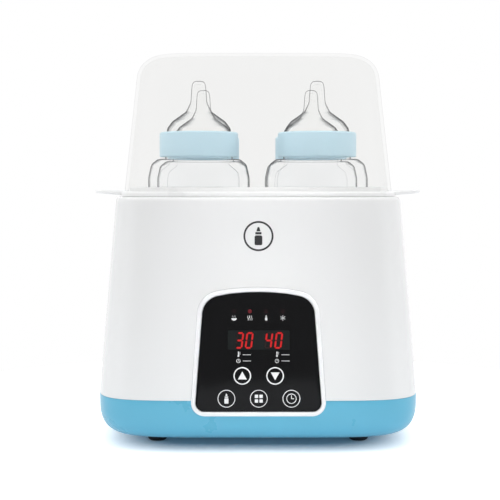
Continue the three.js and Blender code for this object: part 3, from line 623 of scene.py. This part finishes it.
for i, (side_x, side_y) in enumerate([(-1, -1), (1, -1), (1, 1), (-1, 1)], 1):
    profile = rounded([(0, 0, 0), (6.7, 0, 2.3), (6.7, 3.1, 0.3), (3.9, 3.1, 0.3), (3.9, 9, 0.5), (0, 9, 0)],
                      5, closed=False)
    foot = made(f"rubber_foot_{i}_form", turned(profile, (side_x * FOOT_X, side_y * FOOT_Y), 64), FOOT_RUBBER)
    settle(foot, "housing", "foot_rubber", f"rubber_foot_{i}")

# ---------------------------------------------------------------- control panel

rings = [panel_ring(0.0, -BEZEL_DEPTH)]
rings += [panel_ring(inset, z) for inset, z in fillet(1.0, -1.0, 1.0, 0, 90)]
rings += [panel_ring(BEZEL_BORDER - inset, z) for inset, z in fillet(0.5, -0.5, 0.5, 90, 0)]
rings += [panel_ring(BEZEL_BORDER, -2.3), panel_ring(BEZEL_BORDER + LEDGE_WIDTH, -2.3),
          panel_ring(BEZEL_BORDER + LEDGE_WIDTH, -BEZEL_DEPTH)]
bezel = made("panel_bezel_form", skin(rings, closed=True), BEZEL_WHITE, PANEL)
settle(bezel, "housing", "bezel_white", "panel_bezel")

LENS_FRONT = -LENS_RECESS
lens_inset = BEZEL_BORDER + GAP
rings = [panel_ring(lens_inset, LENS_FRONT - LENS_THICK)]
rings += [panel_ring(lens_inset + inset, z) for inset, z in fillet(0.3, LENS_FRONT - 0.3, 0.3, 0, 90, 3)]
lens = made("panel_lens_form", skin(rings), LENS_BLACK, PANEL)
settle(lens, "housing", "lens_black", "panel_lens")

PRINT_BACK, PRINT_FRONT = LENS_FRONT - 0.05, LENS_FRONT + 0.05


def circle(x, y, radius, count=48):
    return [(x + radius * math.cos(2 * math.pi * k / count), y + radius * math.sin(2 * math.pi * k / count))
            for k in range(count)]


def hoop(bm, x, y, radius, line):
    slab(bm, circle(x, y, radius), PRINT_BACK, PRINT_FRONT, circle(x, y, radius - line))


def disc(bm, x, y, radius):
    slab(bm, circle(x, y, radius, 24), PRINT_BACK, PRINT_FRONT)


def patch(bm, points):
    slab(bm, points, PRINT_BACK, PRINT_FRONT)


def stroke(bm, x0, y0, x1, y1, width):
    """A straight printed line with round ends."""
    along = Vector((x1 - x0, y1 - y0)).normalized()
    turn = math.atan2(along.y, along.x)
    points = []
    for x, y, start in ((x1, y1, turn - math.pi / 2), (x0, y0, turn + math.pi / 2)):
        for k in range(7):
            a = start + math.pi * k / 6
            points.append((x + width / 2 * math.cos(a), y + width / 2 * math.sin(a)))
    patch(bm, points)


def wave(bm, x, y, height, sway, width):
    """A rising line of steam."""
    stops = [(x + sway * math.sin(2 * math.pi * k / 10), y + height * k / 10) for k in range(11)]
    left = [(a - width / 2, b) for a, b in stops]
    right = [(a + width / 2, b) for a, b in stops]
    patch(bm, right + left[::-1])


def bottle_sign(bm, x, y, height):
    """A small bottle: body, collar and teat."""
    u = height / 10
    patch(bm, rounded([(x - 2.1 * u, y, 0.7 * u), (x + 2.1 * u, y, 0.7 * u),
                       (x + 2.1 * u, y + 5.4 * u, 0.9 * u), (x - 2.1 * u, y + 5.4 * u, 0.9 * u)]))
    patch(bm, rounded([(x - 1.7 * u, y + 5.9 * u, 0.2 * u), (x + 1.7 * u, y + 5.9 * u, 0.2 * u),
                       (x + 1.7 * u, y + 7.2 * u, 0.2 * u), (x - 1.7 * u, y + 7.2 * u, 0.2 * u)]))
    patch(bm, rounded([(x - 1.1 * u, y + 7.6 * u, 0.1 * u), (x + 1.1 * u, y + 7.6 * u, 0.1 * u),
                       (x + 0.5 * u, y + 10 * u, 0.45 * u), (x - 0.5 * u, y + 10 * u, 0.45 * u)]))


def clock_sign(bm, x, y, radius, line):
    hoop(bm, x, y, radius, line)
    stroke(bm, x, y, x, y + radius * 0.62, line)
    stroke(bm, x, y, x + radius * 0.45, y, line)


def heat_sign(bm, x, y, height, line):
    """A thermometer."""
    disc(bm, x, y + height * 0.2, height * 0.2)
    stroke(bm, x, y + height * 0.2, x, y + height, height * 0.19)
    for k in (0.55, 0.75, 0.95):
        stroke(bm, x + height * 0.22, y + height * k, x + height * 0.36, y + height * k, line)


# the display's window and its digits
window = bmesh.new()
patch(window, rounded([(-19.9, DISPLAY_Y - 6.3, 0.8), (20.2, DISPLAY_Y - 6.3, 0.8),
                        (20.2, DISPLAY_Y + 6.2, 0.8), (-19.9, DISPLAY_Y + 6.2, 0.8)]))
settle(made("display_window", window, WINDOW_GREY, PANEL), "housing", "display_grey")

SEGMENTS = {"a": ((0, 1), (1, 1)), "b": ((1, 1), (1, 0.5)), "c": ((1, 0.5), (1, 0)), "d": ((0, 0), (1, 0)),
            "e": ((0, 0), (0, 0.5)), "f": ((0, 0.5), (0, 1)), "g": ((0, 0.5), (1, 0.5))}
LIT = {"3": "abcdg", "0": "abcdef", "4": "bcfg"}
DIGIT_WIDTH, DIGIT_HEIGHT, DIGIT_LINE, DIGIT_SLANT = 3.6, 9.6, 1.15, math.tan(math.radians(7))
DIGIT_FOOT = DISPLAY_Y - 5.1
lit, unlit = bmesh.new(), bmesh.new()
for digit, left in (("3", -14.6), ("0", -8.4), ("4", 4.3), ("0", 10.7)):
    for key, ends in SEGMENTS.items():
        (u0, v0), (u1, v1) = sorted(ends)
        start = Vector((left + u0 * DIGIT_WIDTH, DIGIT_FOOT + v0 * DIGIT_HEIGHT))
        stop = Vector((left + u1 * DIGIT_WIDTH, DIGIT_FOOT + v1 * DIGIT_HEIGHT))
        along = (stop - start).normalized()
        across = Vector((-along.y, along.x)) * DIGIT_LINE / 2
        start, stop = start + along * 0.14, stop - along * 0.14
        tip = along * DIGIT_LINE / 2
        points = [start, start + tip - across, stop - tip - across, stop, stop - tip + across,
                  start + tip + across]
        leaning = [(p.x + (p.y - DIGIT_FOOT) * DIGIT_SLANT, p.y) for p in points]
        slab(lit if key in LIT[digit] else unlit, leaning, PRINT_FRONT - 0.02, PRINT_FRONT + 0.05)
settle(made("display_digits", lit, SEGMENT_LIT, PANEL), "housing", "led_red")
settle(made("display_dark_segments", unlit, SEGMENT_DARK, PANEL), "housing", "display_grey")

# four indicator lights, the second faintly lit
for i, x in enumerate(COLUMN_LEDS, 1):
    light = bmesh.new()
    disc(light, x, ROW_LEDS, 1.3)
    settle(made(f"indicator_window_{i}", light, LED_LIT if i == 2 else LED_DARK, PANEL), "housing", "led_red")

# generic printed signs
signs = bmesh.new()
x, y = COLUMN_LEDS[0], ROW_LEDS - 5.8
bowl = [(x + 1.7 * math.cos(a), y + 1.3 + 1.5 * math.sin(a))
        for a in steps_between(math.pi + 0.2, 2 * math.pi - 0.2, 8)]
patch(signs, [(x - 1.7, y + 1.3)] + bowl + [(x + 1.7, y + 1.3)])
for k in (-0.7, 0.7):
    wave(signs, x + k, y + 1.8, 1.2, 0.16, 0.22)
for k in (-1.2, 0.0, 1.2):
    wave(signs, COLUMN_LEDS[1] + k, y, 3.0, 0.28, 0.3)
bottle_sign(signs, COLUMN_LEDS[2], y - 0.1, 3.4)
for k in range(3):
    a = math.pi / 2 + k * math.pi / 3
    dx, dy = 1.6 * math.cos(a), 1.6 * math.sin(a)
    stroke(signs, COLUMN_LEDS[3] - dx, y + 1.5 - dy, COLUMN_LEDS[3] + dx, y + 1.5 + dy, 0.28)
for left in LABEL_LEFTS:
    heat_sign(signs, left, DISPLAY_Y - 11.0, 3.2, 0.25)
    clock_sign(signs, left, DISPLAY_Y - 13.6, 1.3, 0.26)
    stroke(signs, left + 3.0, DISPLAY_Y - 9.6, left + 8.0, DISPLAY_Y - 9.6, 0.3)
    stroke(signs, left + 3.0, DISPLAY_Y - 13.6, left + 8.0, DISPLAY_Y - 13.6, 0.3)
for x in COLUMN_ARROWS:
    hoop(signs, x, ROW_ARROWS, KEY_RADIUS, ARROW_LINE)
up, down = COLUMN_ARROWS
patch(signs, [(up - 2.9, ROW_ARROWS - 2.3), (up + 2.9, ROW_ARROWS - 2.3), (up, ROW_ARROWS + 2.8)])
patch(signs, [(down + 2.9, ROW_ARROWS + 2.3), (down - 2.9, ROW_ARROWS + 2.3), (down, ROW_ARROWS - 2.8)])
for x in COLUMN_KEYS:
    hoop(signs, x, ROW_KEYS, KEY_RADIUS, KEY_LINE)
bottle_sign(signs, COLUMN_KEYS[0], ROW_KEYS - 3.2, 6.4)
for column in (-1.5, 1.5):
    for row in (-1.5, 1.5):
        x, y = COLUMN_KEYS[1] + column, ROW_KEYS + row
        patch(signs, rounded([(x - 1.1, y - 1.1, 0.3), (x + 1.1, y - 1.1, 0.3), (x + 1.1, y + 1.1, 0.3),
                              (x - 1.1, y + 1.1, 0.3)], 3))
clock_sign(signs, COLUMN_KEYS[2], ROW_KEYS, 3.3, KEY_LINE)
settle(made("panel_signs", signs, PRINT_WHITE, PANEL), "housing", "lens_black")

# ---------------------------------------------------------------- generic mark on the front wall


def on_front(obj, proud=0.06):
    """Lays a flat mark, drawn at (x, z) with its thickness in y, onto the curved front wall."""
    for vertex in obj.data.vertices:
        x, z, depth = vertex.co.x / MM, vertex.co.y / MM, vertex.co.z / MM
        half_x, half_y = body_halves(z)
        y = -half_y * (1 - abs(x / half_x) ** PLAN_POWER) ** (1 / PLAN_POWER)
        vertex.co = Vector((x, y - (proud if depth > LENS_FRONT else -proud), z)) * MM
    bm = bmesh.new()
    bm.from_mesh(obj.data)
    bmesh.ops.recalc_face_normals(bm, faces=bm.faces)
    bm.to_mesh(obj.data)
    bm.free()
    return obj


mark = bmesh.new()
hoop(mark, 0.0, MARK_Z, MARK_RADIUS, MARK_LINE)
bottle_sign(mark, 0.0, 135.6, 11.8)
settle(on_front(made("front_mark", mark, PRINT_GREY)), "housing", "dark_plastic")

# ---------------------------------------------------------------- basket

FLANGE_TOP = FLANGE_Z + FLANGE_THICK
FLANGE_FOOT = FLANGE_Z - 0.2  # just clear of the body's top
LIP_X, LIP_Y = HOOD_HALF_X - HOOD_WALL - 0.9, HOOD_HALF_Y - HOOD_WALL - 0.9
LIP_WALL = 1.8


def basket_ring(z, inset=0.0):
    half = BASKET_HALF_X - BASKET_DRAFT * (FLANGE_Z - z) / (FLANGE_Z - BASKET_FLOOR_Z) - inset
    return soft_square(half, half - (BASKET_HALF_X - BASKET_HALF_Y), z)


def flange_ring(inset, z):
    return soft_square(FLANGE_HALF_X - inset, FLANGE_HALF_Y - inset, z)


def lip_ring(inset, z):
    return soft_square(LIP_X - inset, LIP_Y - inset, z)


rings = [basket_ring(z, inset) for inset, z in fillet(5.0, BASKET_FLOOR_Z + 5.0, 5.0, -90, 0, 8)]
rings += [basket_ring(z) for z in steps_between(BASKET_FLOOR_Z + 10, FLANGE_Z, 14)]
rings += [flange_ring(inset, z) for inset, z in fillet(0.3, FLANGE_FOOT + 0.3, 0.3, -90, 0)]
rings += [flange_ring(inset, z) for inset, z in fillet(1.0, FLANGE_TOP - 1.0, 1.0, 0, 90)]
rings += [lip_ring(0.0, FLANGE_TOP)]
rings += [lip_ring(inset, z) for inset, z in fillet(0.5, FLANGE_TOP + LIP_HEIGHT - 0.5, 0.5, 0, 90, 4)]
rings += [lip_ring(LIP_WALL, FLANGE_TOP + LIP_HEIGHT), lip_ring(LIP_WALL, FLANGE_TOP)]
rings += [basket_ring(z, BASKET_WALL) for z in steps_between(FLANGE_Z, BASKET_FLOOR_Z + BASKET_FLOOR + 4, 12)]
rings += [basket_ring(z, BASKET_WALL + inset) for inset, z in
          fillet(4.0, BASKET_FLOOR_Z + BASKET_FLOOR + 4, 4.0, 0, -90, 6)]
basket = made("bottle_basket_form", skin(rings), BASKET_WHITE)


def ear(side):
    """A thin ear, thinner and a little higher towards its tip."""
    corners = [(90.0, -EAR_HALF_Y, 4), (EAR_TIP_X, 12 - EAR_HALF_Y, 12),
               (EAR_TIP_X, EAR_HALF_Y - 12, 12), (90.0, EAR_HALF_Y, 4)]
    outline = rounded(corners, 10)
    middle = Vector((100.0, 0.0))
    stack = []
    for shrink, level in ((0.7, 0.0), (0.2, 0.18), (0.0, 0.4), (0.0, 0.6), (0.2, 0.82), (0.7, 1.0)):
        ring = []
        for x, y in outline:
            away = (Vector((x, y)) - middle).normalized() * shrink
            x, y = x - away.x, y - away.y
            out = (x - 90.0) / (EAR_TIP_X - 90.0)
            bottom, top = FLANGE_Z + 2.0 * out, FLANGE_TOP + 0.9 * out
            ring.append((side * x, y, bottom + (top - bottom) * level))
        stack.append(ring)
    return made("ear", skin(stack))


slots = bmesh.new()
for row in (-51, -17, 17, 51):
    for column, half in ((-52, 14), (0, 16), (52, 14)):
        slab(slots, rounded([(column - half, row - 2.5, 2.4), (column + half, row - 2.5, 2.4),
                             (column + half, row + 2.5, 2.4), (column - half, row + 2.5, 2.4)]),
             BASKET_FLOOR_Z - 2, BASKET_FLOOR_Z + BASKET_FLOOR + 2)
wall_slots = bmesh.new()
for x in (-46, 0, 46):
    for side in (-1, 1):
        middle = side * (BASKET_HALF_Y - 2)
        box(wall_slots, x - 3, x + 3, middle - 6, middle + 6, 96, 140)
carve(basket, ("UNION", ear(1)), ("UNION", ear(-1)), ("DIFFERENCE", made("slots", slots)),
      ("DIFFERENCE", made("wall_slots", wall_slots)))
settle(basket, "basket", "basket_white", "bottle_basket")

# ---------------------------------------------------------------- hood


def hood_side(inset):
    """Rings from the open bottom, up the side, round the corner and across the slightly domed top."""
    out = [soft_square(*hood_halves(z, inset), z) for z in
           steps_between(HOOD_BOTTOM_Z + 0.6, HOOD_TOP_Z - HOOD_TOP_RADIUS, 14)]
    radius = HOOD_TOP_RADIUS - inset
    middle_z = HOOD_TOP_Z - HOOD_TOP_RADIUS - 0.6
    for a in steps_between(0, math.pi / 2, 12)[1:]:
        z = middle_z + radius * math.sin(a)
        out.append(soft_square(*hood_halves(z, inset + radius * (1 - math.cos(a))), z))
    half_x, half_y = hood_halves(middle_z + radius, inset + radius)
    for k in range(1, 8):
        share = 1 - k / 8
        out.append(soft_square(half_x * share, half_y * share, middle_z + radius + 0.6 * (1 - share ** 2)))
    return out


outer, inner = hood_side(0.0), hood_side(HOOD_WALL)
rim = [soft_square(*hood_halves(HOOD_BOTTOM_Z, inset), HOOD_BOTTOM_Z) for inset in (HOOD_WALL - 0.4, 0.4)]
hood = made("hood_form", skin(inner[::-1] + rim + outer), HOOD_CLEAR)
hood.data.materials.append(HOOD_INSIDE)
for face in hood.data.polygons[:(len(inner) - 1) * PLAN_SIDES]:
    face.material_index = 1
settle(hood, "hood", "hood_clear", "hood")

# ---------------------------------------------------------------- bottles, teats and collars

bottle_profile = rounded([
    (0, 83, 0), (33.4, 83, 2.5), (36, 87.5, 3), (35, 180, 14), (33, 189.0, 5), (28.5, 192.5, 3),
    (23.3, 192.6, 0.4), (23.3, 206.5, 0.5), (20, 206.5, 0.5), (20, 189.5, 3), (26.2, 184.5, 3),
    (27.5, 179, 8), (28.4, 94, 3), (24.5, 89.5, 2.5), (0, 89.5, 0)], 6, closed=False)
teat_profile = rounded([
    (20.3, 206.8, 0.2), (24.2, 206.8, 0.3), (24.2, 209, 0.3), (22.5, 209, 0.4), (21.9, 213.8, 6),
    (18.2, 218.6, 5), (8.9, 225.2, 5), (5.7, 231.5, 9), (5.0, 241.6, 3), (4.2, 246.2, 3.0),
    (0, 246.3, 0)], 8, closed=False)
teat_inside = rounded([
    (0, 244.2, 0), (2.9, 243.6, 1.2), (3.9, 233, 5), (7.2, 224.6, 4), (16.2, 217.4, 4), (20.0, 212.0, 3),
    (20.3, 206.8, 0)], 6, closed=False)
collar_profile = rounded([
    (24.6, 194, 0.2), (27.1, 194, 0.5), (27.1, 210, 0.3), (26.1, 211, 0.6), (22.9, 211, 0.3),
    (22.9, 209.3, 0.1), (24.6, 209.3, 0.1)], 4)


def line_inside(piece, spot, finish):
    """Gives the faces that look towards the axis at spot the finish of the inner wall."""
    axis = Vector(spot) * MM
    piece.data.materials.append(finish)
    for wall in piece.data.polygons:
        if wall.normal.xy.dot(wall.center.xy - axis) < 0:
            wall.material_index = 1


SPOTS = [(-BOTTLE_X, -BOTTLE_Y), (BOTTLE_X, -BOTTLE_Y), (BOTTLE_X, BOTTLE_Y), (-BOTTLE_X, BOTTLE_Y)]
for i, spot in enumerate(SPOTS, 1):
    glass = made(f"bottle_{i}_form", turned(bottle_profile, spot), BOTTLE_CLEAR)
    line_inside(glass, spot, BOTTLE_INSIDE)
    settle(glass, f"bottle_{i}", "bottle_clear", f"bottle_{i}")
    soft = made(f"teat_{i}_form", turned(teat_profile + teat_inside[:-1], spot, closed=True), TEAT_CLEAR)
    line_inside(soft, spot, TEAT_INSIDE)
    settle(soft, f"teat_{i}", "teat_silicone", f"teat_{i}")
    band = made(f"collar_{i}_form", turned(collar_profile, spot, closed=True), COLLAR_BLUE)
    settle(band, f"collar_{i}", "collar_blue", f"collar_{i}")

# ---------------------------------------------------------------- chamber, seal and inlet


def chamber_ring(z, inset=0.0):
    half = CHAMBER_HALF_X - CHAMBER_DRAFT * (CHAMBER_RIM_Z - z) / (CHAMBER_RIM_Z - CHAMBER_FLOOR_Z) - inset
    return soft_square(half, half - (CHAMBER_HALF_X - CHAMBER_HALF_Y), z)


rings = [chamber_ring(z, inset) for inset, z in fillet(6.0, CHAMBER_FLOOR_Z + 6, 6.0, -90, 0, 8)]
rings += [chamber_ring(CHAMBER_RIM_Z - CHAMBER_WALL), soft_square(91.3, 84.2, CHAMBER_RIM_Z - CHAMBER_WALL),
          soft_square(91.3, 84.2, CHAMBER_RIM_Z), chamber_ring(CHAMBER_RIM_Z, CHAMBER_WALL)]
rings += [chamber_ring(z, CHAMBER_WALL + inset) for inset, z in
          fillet(4.8, CHAMBER_FLOOR_Z + 6, 4.8, 0, -90, 8)]
chamber = made("heating_chamber_form", skin(rings), CHAMBER_STEEL)
settle(chamber, "housing", "chamber_steel", "heating_chamber")

section = rounded([(0.0, 161.5, 0.5), (3.0, 161.5, 0.5), (3.0, 164.2, 0.5), (0.0, 164.2, 0.5)], 4)
rings = [soft_square(88 + out, 82.6 + out * 1.6 / 3, z) for out, z in section]
seal = made("chamber_seal_form", skin(rings, closed=True), SEAL_SILICONE)
settle(seal, "housing", "seal_silicone", "chamber_seal")

# the inlet is drawn in its own plane: across, up, and out of the back wall
INLET = Matrix.Translation((INLET_X * MM, 0.0, INLET_Z * MM)) @ Matrix.Rotation(math.pi, 4, "Z") @ \
    Matrix.Rotation(math.pi / 2, 4, "X")
inlet_front = back_wall_y + GAP + 0.4


def inlet_ring(half_x, half_z, radius, depth):
    corners = [(-half_x, -half_z, radius), (half_x, -half_z, radius), (half_x, half_z, radius),
               (-half_x, half_z, radius)]
    return [(x, y, depth) for x, y in rounded(corners, 6)]


rings = [inlet_ring(INLET_HALF_X - GAP, INLET_HALF_Z - GAP, 1.5, back_wall_y - 15),
         inlet_ring(INLET_HALF_X - GAP, INLET_HALF_Z - GAP, 1.5, inlet_front),
         inlet_ring(14, 10, 2.5, inlet_front), inlet_ring(14, 10, 2.5, inlet_front + 1.4),
         inlet_ring(13.4, 9.4, 2.2, inlet_front + 2), inlet_ring(9.3, 5.2, 4.6, inlet_front + 2),
         inlet_ring(8.7, 4.6, 4.4, inlet_front + 1.4), inlet_ring(8.7, 4.6, 4.4, back_wall_y - 10)]
inlet = made("inlet_socket_form", skin(rings), DARK_PLASTIC, INLET)
settle(inlet, "housing", "dark_plastic", "inlet_socket")

# ---------------------------------------------------------------- finishes of the nodes that stay

FINISHES = {
    "base_screw": ZINC, "display_module": DISPLAY_GREY, "indicator_led": LED_DARK, "touch_spring": DARK_STEEL,
    "control_board": BOARD_GREEN, "power_board": BOARD_GREEN, "transformer": TAPE_YELLOW,
    "capacitor": DARK_PLASTIC, "relay": RELAY_BLUE, "buzzer": DARK_PLASTIC, "heater_plate": ALUMINIUM,
    "heater_element": DARK_STEEL, "heater_clamp": ZINC, "temperature_sensor": CHAMBER_STEEL,
    "thermal_fuse": ZINC, "inlet_pin": NICKEL, "mains_lead_1": LEAD_RED, "mains_lead_2": LEAD_BLUE,
    "heater_lead_1": LEAD_RED,
    "heater_lead_2": LEAD_BLUE, "sensor_lead": LEAD_GREY, "panel_ribbon": LEAD_GREY,
}
for name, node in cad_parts.items():
    for start, finish in FINISHES.items():
        if name.startswith(start):
            for material_slot in node.material_slots:
                material_slot.material = finish

# ---------------------------------------------------------------- floor: bright, with a painted shadow under the base

floor_mesh = bmesh.new()
bmesh.ops.create_circle(floor_mesh, cap_ends=True, segments=96, radius=FLOOR_RADIUS)
n = Nodes("floor_with_painted_shadow")
speck = n.ranged(n.noise(3.0, 2.0), 0.0, 1.0)
# the floor's glow fades to a dark blue within a soft square under the base: a painted contact shadow, tinted
# with painted bounce light from the blue base
painted_shadow_scale = (1 / (PAINTED_SHADOW_HALF_X * MM), 1 / (PAINTED_SHADOW_HALF_Y * MM), 0.0)
over = n.add("ShaderNodeMapping", {"Vector": n.coords(), "Scale": painted_shadow_scale}).outputs[0]
squared = n.add("ShaderNodeVectorMath", {0: over, 1: over}, operation="MULTIPLY").outputs[0]
spread = n.add("ShaderNodeVectorMath", {0: squared}, operation="LENGTH").outputs["Value"]
away = n.add("ShaderNodeMath", {0: spread}, operation="SQRT").outputs[0]
clear_of_painted_shadow = n.add("ShaderNodeMapRange", {"Value": away, "From Min": 0.66, "From Max": 1.13},
                 interpolation_type="SMOOTHSTEP").outputs[0]
seen = n.add("ShaderNodeLightPath").outputs["Is Camera Ray"]
floor_finish = n.surface(n.add("ShaderNodeBsdfPrincipled", {
    "Base Color": n.blend(speck, (0.80, 0.83, 0.86), (0.82, 0.85, 0.88)), "Roughness": 0.8,
    "Specular IOR Level": 0.05, "Emission Color": n.blend(clear_of_painted_shadow, (0.015, 0.04, 0.065), (0.75, 0.75, 0.75)),
    "Emission Strength": n.ranged(seen, FLOOR_BOUNCE, 1.0, 0.0, 1.0)}).outputs[0])
floor = made("floor", floor_mesh, floor_finish)
